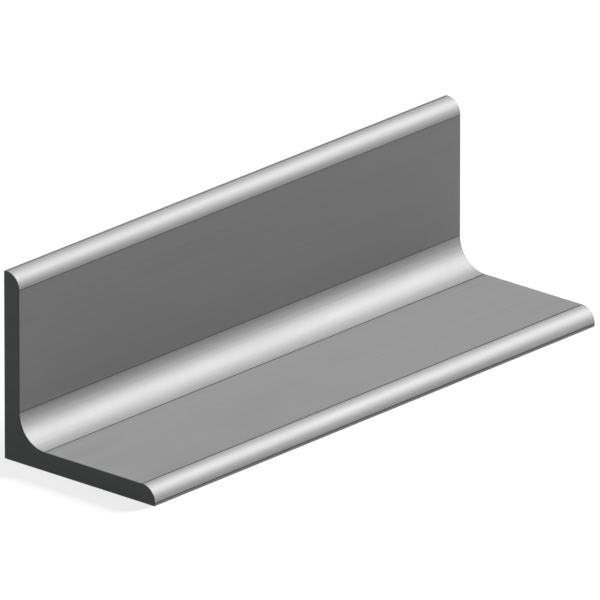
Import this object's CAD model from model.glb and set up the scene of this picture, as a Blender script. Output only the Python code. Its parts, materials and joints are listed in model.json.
"""Looks of a 100 mm length of hot-rolled equal-leg steel angle: its finely rounded mesh, the finish of its rolled
faces and sawn ends, a pale floor, soft studio light and the camera.

Everything is in metres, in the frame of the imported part: the length runs along X, the flat leg lies on the floor
and reaches towards -Y, and the upright leg stands at the back, towards +Y.
"""

import json
import math

import bmesh
import bpy
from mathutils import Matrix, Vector


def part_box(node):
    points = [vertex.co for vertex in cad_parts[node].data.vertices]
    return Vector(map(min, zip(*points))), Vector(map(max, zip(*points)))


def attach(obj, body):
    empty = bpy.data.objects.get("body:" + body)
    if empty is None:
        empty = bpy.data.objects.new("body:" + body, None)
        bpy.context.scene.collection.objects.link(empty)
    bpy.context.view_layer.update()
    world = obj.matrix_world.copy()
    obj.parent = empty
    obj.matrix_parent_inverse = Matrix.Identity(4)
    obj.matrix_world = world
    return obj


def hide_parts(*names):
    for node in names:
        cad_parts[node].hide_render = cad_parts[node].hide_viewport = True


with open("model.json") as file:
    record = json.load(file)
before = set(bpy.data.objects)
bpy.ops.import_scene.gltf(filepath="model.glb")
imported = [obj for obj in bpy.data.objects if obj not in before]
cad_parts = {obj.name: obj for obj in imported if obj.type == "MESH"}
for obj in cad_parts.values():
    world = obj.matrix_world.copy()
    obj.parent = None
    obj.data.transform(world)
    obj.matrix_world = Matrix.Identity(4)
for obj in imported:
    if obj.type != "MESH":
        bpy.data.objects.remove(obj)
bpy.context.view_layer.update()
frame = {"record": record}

NODE = "angle_section"
MM = 0.001

# The overall sizes and the thickness come from the frame, and the radii are those of the solid.
LOW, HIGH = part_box(NODE)
INSIDE = next(mount for mount in frame["record"]["mounts"] if mount["name"] == "flat_leg_inside")
THICKNESS = INSIDE["pos_m"][2]
ROOT_RADIUS = 5.0 * MM
TOE_RADIUS = 2.5 * MM
EDGE_BREAK = 0.15 * MM

# The rolls leave a fine dark line where each large radius meets a flat. These are the widths of the lines.
UPRIGHT_LINE = 0.12 * MM
LEVEL_LINE = 0.26 * MM
TIP_LINE = 0.18 * MM
LINE_DEPTH = 0.01 * MM

ARC_STEP = math.radians(2.5)  # of turn between the points of a large radius
BREAK_STEPS = 5  # steps round an edge break
CELL = 2.0 * MM  # about how long a cell of a flat is
RIM_CELL = 0.1 * MM  # the cell beside an edge break
MAP_GAP = 1.0 * MM  # between the parts of the flat map
SAME_PLACE = 1e-5 * MM

FLAT, ROUND, LINE, SAWN = range(4)  # material slots of the piece


# ---------------------------------------------------------------------------------------------------- the section


def section_corners():
    """The section's corners in the YZ plane, in the order that keeps the steel on the right-hand side. Each has the
    radius that rounds it and the widths of the roll lines at the start and end of its arc. An edge break has none."""
    return [
        (Vector((HIGH.y, LOW.z)), EDGE_BREAK, (0, 0)),  # heel
        (Vector((LOW.y, LOW.z)), EDGE_BREAK, (0, 0)),  # back of the flat toe
        (Vector((LOW.y, LOW.z + THICKNESS)), TOE_RADIUS, (TIP_LINE, LEVEL_LINE)),
        (Vector((HIGH.y - THICKNESS, LOW.z + THICKNESS)), ROOT_RADIUS, (LEVEL_LINE, UPRIGHT_LINE)),
        (Vector((HIGH.y - THICKNESS, HIGH.z)), TOE_RADIUS, (UPRIGHT_LINE, TIP_LINE)),
        (Vector((HIGH.y, HIGH.z)), EDGE_BREAK, (0, 0)),  # back of the upright toe
    ]


def arc_turns(radius, lines):
    """The turns, from 0 to a quarter, at which an arc has points. With roll lines, one more at each end is where
    the line stops."""
    quarter = math.pi / 2
    if not any(lines):
        return [quarter * step / BREAK_STEPS for step in range(BREAK_STEPS + 1)]
    first, last = lines[0] / 2 / radius, quarter - lines[1] / 2 / radius
    steps = round(quarter / ARC_STEP)
    return [0.0] + [first + (last - first) * step / steps for step in range(steps + 1)] + [quarter]


def arc_points(corner, radius, lines, arriving, leaving):
    """(point, outward direction) along the arc that rounds a corner between two directions of travel."""
    centre = corner - radius * arriving + radius * leaving
    side = 1 if arriving.cross(leaving) < 0 else -1  # the root is hollow, so it faces its centre
    points = []
    for turn in arc_turns(radius, lines):
        away = -math.cos(turn) * leaving + math.sin(turn) * arriving
        points.append((centre + radius * away, side * away))
    if any(lines):  # the bottom of each roll line is where the arc meets the flat
        for end in (0, -1):
            point, outward = points[end]
            points[end] = (point - LINE_DEPTH * outward, outward)
    return points


def side_points(start, end, line_at_start, line_at_end):
    """(point, outward direction) between two arcs, both ends left out. A roll line at an end has a point where it
    stops, and an edge break has one a cell away, so that the shading stays sharp."""
    along = (end - start).normalized()
    outward = Vector((-along.y, along.x))
    low = line_at_start / 2 or RIM_CELL
    high = (end - start).length - (line_at_end / 2 or RIM_CELL)
    cells = max(1, round((high - low) / CELL))
    return [(start + (low + (high - low) * cell / cells) * along, outward) for cell in range(cells + 1)]


def section_outline():
    """Once round the section: points, outward directions, and the material slot of the run that starts at each
    point."""
    corners = section_corners()
    count = len(corners)
    travel = [(corners[(i + 1) % count][0] - corners[i][0]).normalized() for i in range(count)]
    outline, slots = [], []
    for i, (corner, radius, lines) in enumerate(corners):
        leaving = travel[i]
        following, following_radius, following_lines = corners[(i + 1) % count]
        arc = arc_points(corner, radius, lines, travel[i - 1], leaving)
        side = side_points(
            corner + radius * leaving, following - following_radius * leaving, lines[1], following_lines[0]
        )
        outline += arc + side
        if any(lines):
            slots += [LINE] + [ROUND] * (len(arc) - 3) + [LINE] * 2
        else:
            slots += [FLAT] * len(arc)
        slots += [FLAT] * (len(side) - 1) + [LINE if any(following_lines) else FLAT]
    return [point for point, _ in outline], [outward for _, outward in outline], slots


# ------------------------------------------------------------------------------------------------------- the mesh


def stations():
    """(x, inset, lengthwise share of the outward direction) of each row of points, from one sawn end to the other.
    The first and last rows turn the edge break round the end."""
    middle = (LOW.x + HIGH.x) / 2
    reach = (HIGH.x - LOW.x) / 2
    rows = []
    for step in range(BREAK_STEPS + 1):
        turn = math.pi / 2 * step / BREAK_STEPS
        rows.append((reach - EDGE_BREAK * (1 - math.sin(turn)), EDGE_BREAK * (1 - math.cos(turn)), math.sin(turn)))
    left = [(middle - x, inset, -share) for x, inset, share in reversed(rows)]
    right = [(middle + x, inset, share) for x, inset, share in rows]
    inner = reach - EDGE_BREAK - RIM_CELL
    cells = round(2 * inner / CELL)
    between = [(middle - inner + 2 * inner * cell / cells, 0, 0) for cell in range(cells + 1)]
    return left + between + right


def travelled(points):
    """How far each of a run of points is from the first, along the run."""
    distances = [0.0]
    for near, far in zip(points, points[1:]):
        distances.append(distances[-1] + (far - near).length)
    return distances


class BakeMap:
    """The flat map that textures are baked on: the skin unrolled about the length, with the two ends beside it."""

    def __init__(self, bm, outline, rows):
        self.layer = bm.loops.layers.uv.new("OFBake")
        self.across = travelled(outline + outline[:1])
        self.along = travelled([Vector((x, inset)) for x, inset, _ in rows])
        width = self.along[-1] + (HIGH.y - LOW.y) + 3 * MAP_GAP
        height = max(self.across[-1], 2 * (HIGH.z - LOW.z) + MAP_GAP) + 2 * MAP_GAP
        self.scale = 1 / max(width, height)

    def put(self, loop, u, v):
        loop[self.layer].uv = ((MAP_GAP + u) * self.scale, (MAP_GAP + v) * self.scale)

    def skin(self, face, row, step):
        corners = ((row, step), (row, step + 1), (row + 1, step + 1), (row + 1, step))
        for loop, (r, i) in zip(face.loops, corners):
            self.put(loop, self.along[r], self.across[i])

    def end(self, face, number):
        left = self.along[-1] + MAP_GAP
        bottom = number * (HIGH.z - LOW.z + MAP_GAP)
        for loop in face.loops:
            self.put(loop, left + loop.vert.co.y - LOW.y, bottom + loop.vert.co.z - LOW.z)


def build_angle():
    """The whole angle as one closed mesh, with exact shading normals and a map to bake on."""
    points, outward, slots = section_outline()
    rows = stations()
    around = len(points)
    bm = bmesh.new()
    facing = bm.verts.layers.float_vector.new("facing")
    bake_map = BakeMap(bm, points, rows)
    grid = []
    for x, inset, share in rows:
        ring = []
        for point, out in zip(points, outward):
            inner = point - inset * out
            vertex = bm.verts.new((x, inner.x, inner.y))
            flat = math.sqrt(1 - share * share)
            vertex[facing] = (share, flat * out.x, flat * out.y)
            ring.append(vertex)
        grid.append(ring)
    for row, (near, far) in enumerate(zip(grid, grid[1:])):
        turning = row < BREAK_STEPS or row >= len(rows) - 1 - BREAK_STEPS
        for i in range(around):
            j = (i + 1) % around
            face = bm.faces.new((near[i], near[j], far[j], far[i]))
            face.material_index = SAWN if turning else slots[i]
            bake_map.skin(face, row, i)
    for number, ring in enumerate((grid[0][::-1], grid[-1])):
        face = bm.faces.new(ring)
        face.material_index = SAWN
        bake_map.end(face, number)
    bmesh.ops.remove_doubles(bm, verts=bm.verts, dist=SAME_PLACE)  # a corner's edge breaks meet in one point
    bmesh.ops.recalc_face_normals(bm, faces=bm.faces)
    mesh = bpy.data.meshes.new("rolled_angle")
    bm.to_mesh(mesh)
    bm.free()
    mesh.polygons.foreach_set("use_smooth", [True] * len(mesh.polygons))
    normals = [Vector(item.vector) for item in mesh.attributes["facing"].data]
    mesh.attributes.remove(mesh.attributes["facing"])
    mesh.normals_split_custom_set_from_vertices(normals)
    return bpy.data.objects.new("rolled_angle", mesh)


# ------------------------------------------------------------------------------------------------------ materials

# The rolls leave a skin of grey oxide, which is taken to be part metal and part matt. The radii are taken to be a
# little lighter and less dull than the flats.
OXIDE_METALLIC = 0.7
FLAT_COLOUR = (0.207, 0.207, 0.207)
FLAT_ROUGHNESS = 0.82
ROUND_COLOUR = (0.268, 0.268, 0.268)
ROUND_ROUGHNESS = 0.695
LINE_COLOUR = (0.055, 0.055, 0.055)
OXIDE_RELIEF = 0.02 * MM

SAWN_METALLIC = 0.5
SAWN_COLOUR = (0.041, 0.045, 0.043)
SAWN_ROUGHNESS = 0.6
SAWN_RELIEF = 0.04 * MM
SAW_TILT = math.radians(12)  # the saw marks run nearly level across the ends

# How large the marks of each kind are, along X, Y and Z. The saw's marks don't change through the thin skin of an
# end, so they are long along X.
STREAKS = (30 * MM, 0.5 * MM, 0.5 * MM)
BANDS = (120 * MM, 3 * MM, 3 * MM)
CLOUDS = (14 * MM, 9 * MM, 9 * MM)
OXIDE_GRAIN = (0.3 * MM, 0.3 * MM, 0.3 * MM)
LINE_PATCHES = (6 * MM, 1 * MM, 1 * MM)
SAW_TEETH = (1, 30 * MM, 0.25 * MM)
SAW_STROKES = (1, 80 * MM, 1.6 * MM)
SAWN_GRAIN = (0.25 * MM, 0.25 * MM, 0.25 * MM)


class Shader:
    """A node material with one Principled shader, and short ways to add and join nodes."""

    def __init__(self, name, metallic):
        self.material = bpy.data.materials.new(name)
        self.material.use_nodes = True
        self.nodes = self.material.node_tree.nodes
        self.links = self.material.node_tree.links
        self.principled = self.nodes["Principled BSDF"]
        self.principled.inputs["Metallic"].default_value = metallic
        self.place = self.add("TexCoord").outputs["Object"]

    def add(self, kind, **settings):
        node = self.nodes.new("ShaderNode" + kind)
        for name, value in settings.items():
            setattr(node, name, value)
        return node

    def noise(self, cell, detail=2, tilt=0):
        """Noise about 0.5 over the part, with cells of the given size along X, Y and Z, once the part is turned
        about X by the tilt."""
        mapping = self.add("Mapping", vector_type="TEXTURE")
        mapping.inputs["Rotation"].default_value = (tilt, 0, 0)
        mapping.inputs["Scale"].default_value = cell
        noise = self.add("TexNoise")
        noise.inputs["Scale"].default_value = 1
        noise.inputs["Detail"].default_value = detail
        self.links.new(self.place, mapping.inputs["Vector"])
        self.links.new(mapping.outputs["Vector"], noise.inputs["Vector"])
        return noise.outputs["Fac"]

    def blend(self, terms, middle):
        """The middle value plus each (noise, swing), where a swing is how far the value goes when the noise goes
        from 0 to 1."""
        total = None
        for noise, swing in terms:
            step = self.add("Math", operation="MULTIPLY_ADD")
            step.inputs[1].default_value = swing
            self.links.new(noise, step.inputs[0])
            if total is None:
                step.inputs[2].default_value = middle - sum(each for _, each in terms) / 2
            else:
                self.links.new(total, step.inputs[2])
            total = step.outputs[0]
        return total

    def colour(self, base, terms):
        """The base colour, made lighter and darker by the noises."""
        scaled = self.add("VectorMath", operation="SCALE")
        scaled.inputs[0].default_value = base
        self.links.new(self.blend(terms, 1), scaled.inputs["Scale"])
        self.links.new(scaled.outputs["Vector"], self.principled.inputs["Base Color"])

    def roughness(self, middle, terms):
        self.links.new(self.blend(terms, middle), self.principled.inputs["Roughness"])

    def relief(self, depth, terms):
        """Bumps whose full height, from noise 0 to noise 1, is the depth in metres."""
        bump = self.add("Bump")
        bump.inputs["Strength"].default_value = 1
        bump.inputs["Distance"].default_value = depth
        self.links.new(self.blend(terms, 0.5), bump.inputs["Height"])
        self.links.new(bump.outputs["Normal"], self.principled.inputs["Normal"])


def rolled_steel(name, base, roughness):
    """The clean grey skin left by the rolls: faint streaks along the length, soft clouds and a fine grain."""
    shader = Shader(name, OXIDE_METALLIC)
    streaks = shader.noise(STREAKS, detail=3)
    bands = shader.noise(BANDS)
    clouds = shader.noise(CLOUDS, detail=3)
    grain = shader.noise(OXIDE_GRAIN)
    shader.colour(base, [(streaks, 0.2), (bands, 0.08), (clouds, 0.1), (grain, 0.2)])
    shader.roughness(roughness, [(streaks, 0.1), (clouds, 0.07), (grain, 0.1)])
    shader.relief(OXIDE_RELIEF, [(streaks, 0.6), (grain, 0.4)])
    return shader.material


def roll_line():
    """The darker oxide that stays in the fine line beside each large radius."""
    shader = Shader("roll_line", OXIDE_METALLIC)
    patches = shader.noise(LINE_PATCHES, detail=3)
    grain = shader.noise(OXIDE_GRAIN)
    shader.colour(LINE_COLOUR, [(patches, 0.5), (grain, 0.3)])
    shader.roughness(ROUND_ROUGHNESS, [(patches, 0.2)])
    return shader.material


def sawn_steel():
    """The dark cut ends, with the fine parallel marks of the saw."""
    shader = Shader("sawn_steel", SAWN_METALLIC)
    teeth = shader.noise(SAW_TEETH, detail=3, tilt=SAW_TILT)
    strokes = shader.noise(SAW_STROKES, detail=1, tilt=SAW_TILT)
    grain = shader.noise(SAWN_GRAIN)
    shader.colour(SAWN_COLOUR, [(teeth, 0.5), (strokes, 0.3), (grain, 0.2)])
    shader.roughness(SAWN_ROUGHNESS, [(teeth, 0.2), (grain, 0.1)])
    shader.relief(SAWN_RELIEF, [(teeth, 0.6), (strokes, 0.3), (grain, 0.1)])
    return shader.material


angle = build_angle()
bpy.context.scene.collection.objects.link(angle)
for material in (
    rolled_steel("rolled_flat", FLAT_COLOUR, FLAT_ROUGHNESS),
    rolled_steel("rolled_radius", ROUND_COLOUR, ROUND_ROUGHNESS),
    roll_line(),
    sawn_steel(),
):
    angle.data.materials.append(material)
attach(angle, "root")
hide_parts(NODE)

# ---------------------------------------------------------------------------------------------- floor and lights

FLOOR_SIZE = 8
FLOOR_BOUNCE = 0.35  # how much of the light it sends back to the part's matt share
FLOOR_LIT = 0.2  # the lamps' part of the floor as the camera and the reflections see it
FLOOR_GLOW = 0.7  # its own part there, which makes it white where nothing shades it
SKY = 0.14
SKYLINE = math.radians(1)
LAMP_DISTANCE = 9


def floor_material():
    """A pale floor that is white to the camera and in reflections. Most of that white is its own, so the shadow
    of the part stays faint there."""
    material = bpy.data.materials.new("floor")
    material.use_nodes = True
    nodes, links = material.node_tree.nodes, material.node_tree.links
    nodes.remove(nodes["Principled BSDF"])

    def paint(level):
        node = nodes.new("ShaderNodeBsdfDiffuse")
        node.inputs["Color"].default_value = (level, level, level, 1)
        return node

    path = nodes.new("ShaderNodeLightPath")
    seen = path.outputs["Is Camera Ray"]
    for ray in ("Is Glossy Ray", "Is Transmission Ray"):
        either = nodes.new("ShaderNodeMath")
        either.operation = "MAXIMUM"
        links.new(seen, either.inputs[0])
        links.new(path.outputs[ray], either.inputs[1])
        seen = either.outputs[0]
    glow = nodes.new("ShaderNodeEmission")
    glow.inputs["Strength"].default_value = FLOOR_GLOW
    white = nodes.new("ShaderNodeAddShader")
    links.new(paint(FLOOR_LIT).outputs[0], white.inputs[0])
    links.new(glow.outputs[0], white.inputs[1])
    mix = nodes.new("ShaderNodeMixShader")
    links.new(seen, mix.inputs[0])
    links.new(paint(FLOOR_BOUNCE).outputs[0], mix.inputs[1])
    links.new(white.outputs[0], mix.inputs[2])
    links.new(mix.outputs[0], nodes["Material Output"].inputs["Surface"])
    return material


def add_floor():
    bpy.ops.mesh.primitive_plane_add(size=FLOOR_SIZE, location=(0, 0, LOW.z))
    floor = bpy.context.object
    floor.name = "floor"
    floor.data.materials.append(floor_material())


def add_sky():
    """A dim even sky. Below the skyline, which is where the floor would go on, it is as white as the floor."""
    world = bpy.data.worlds.new("studio")
    bpy.context.scene.world = world
    world.use_nodes = True
    nodes, links = world.node_tree.nodes, world.node_tree.links
    direction = nodes.new("ShaderNodeTexCoord")
    axes = nodes.new("ShaderNodeSeparateXYZ")
    below = nodes.new("ShaderNodeMath")
    below.operation = "LESS_THAN"
    below.inputs[1].default_value = math.sin(SKYLINE)
    level = nodes.new("ShaderNodeMapRange")
    level.inputs["To Min"].default_value = SKY
    level.inputs["To Max"].default_value = 1
    links.new(direction.outputs["Generated"], axes.inputs[0])
    links.new(axes.outputs["Z"], below.inputs[0])
    links.new(below.outputs[0], level.inputs["Value"])
    links.new(level.outputs["Result"], nodes["Background"].inputs["Strength"])
    nodes["Background"].inputs["Color"].default_value = (1, 1, 1, 1)


def add_softbox(name, azimuth, elevation, width, level):
    """A round lamp that looks at the part. Its level is how bright it makes a white surface that faces it. The
    azimuth is from +X towards +Y, and the width is how wide the part sees it. All angles are in degrees."""
    diameter = 2 * LAMP_DISTANCE * math.tan(math.radians(width) / 2)
    data = bpy.data.lights.new(name, "AREA")
    data.shape = "DISK"
    data.size = diameter
    data.energy = level * math.pi**2 * (LAMP_DISTANCE**2 + diameter**2 / 4)
    lamp = bpy.data.objects.new(name, data)
    azimuth, elevation = math.radians(azimuth), math.radians(elevation)
    towards = Vector(
        (
            math.cos(elevation) * math.cos(azimuth),
            math.cos(elevation) * math.sin(azimuth),
            math.sin(elevation),
        )
    )
    lamp.location = (LOW + HIGH) / 2 + LAMP_DISTANCE * towards
    lamp.rotation_euler = towards.to_track_quat("Z", "Y").to_euler()
    bpy.context.scene.collection.objects.link(lamp)


add_floor()
add_sky()
add_softbox("key", azimuth=-10, elevation=25, width=18, level=2.66)
add_softbox("fill", azimuth=173, elevation=60, width=30, level=0.5)
add_softbox("back", azimuth=90, elevation=16, width=26, level=0.5)  # the upright leg shades the rest from it

# -------------------------------------------------------------------------------------------------------- camera

VIEW_AZIMUTH = math.radians(-48.57)
VIEW_ELEVATION = math.radians(20.855)
HALF_ANGLE = math.radians(0.62)  # half of what the lens takes in: nearly a parallel projection
FRAME_WIDTH = 89.95 * MM  # of what the lens takes in at the aim
AIM_RIGHT, AIM_UP = -0.222 * MM, -0.191 * MM  # from the middle of the part's box, as the camera sees it
CLIP_START, CLIP_END = 0.1, 4  # in camera distances


def add_camera():
    data = bpy.data.cameras.new("camera")
    data.lens = data.sensor_width / 2 / math.tan(HALF_ANGLE)
    camera = bpy.data.objects.new("camera", data)
    back = Vector(
        (
            math.sin(VIEW_AZIMUTH) * math.cos(VIEW_ELEVATION),
            -math.cos(VIEW_AZIMUTH) * math.cos(VIEW_ELEVATION),
            math.sin(VIEW_ELEVATION),
        )
    )
    turn = back.to_track_quat("Z", "Y")
    right, up = turn @ Vector((1, 0, 0)), turn @ Vector((0, 1, 0))
    aim = (LOW + HIGH) / 2 + AIM_RIGHT * right + AIM_UP * up
    distance = FRAME_WIDTH / 2 / math.tan(HALF_ANGLE)
    camera.location = aim + back * distance
    camera.rotation_euler = turn.to_euler()
    data.clip_start = distance * CLIP_START
    data.clip_end = distance * CLIP_END
    bpy.context.scene.collection.objects.link(camera)
    bpy.context.scene.camera = camera


add_camera()
bpy.context.scene.view_settings.view_transform = "Standard"
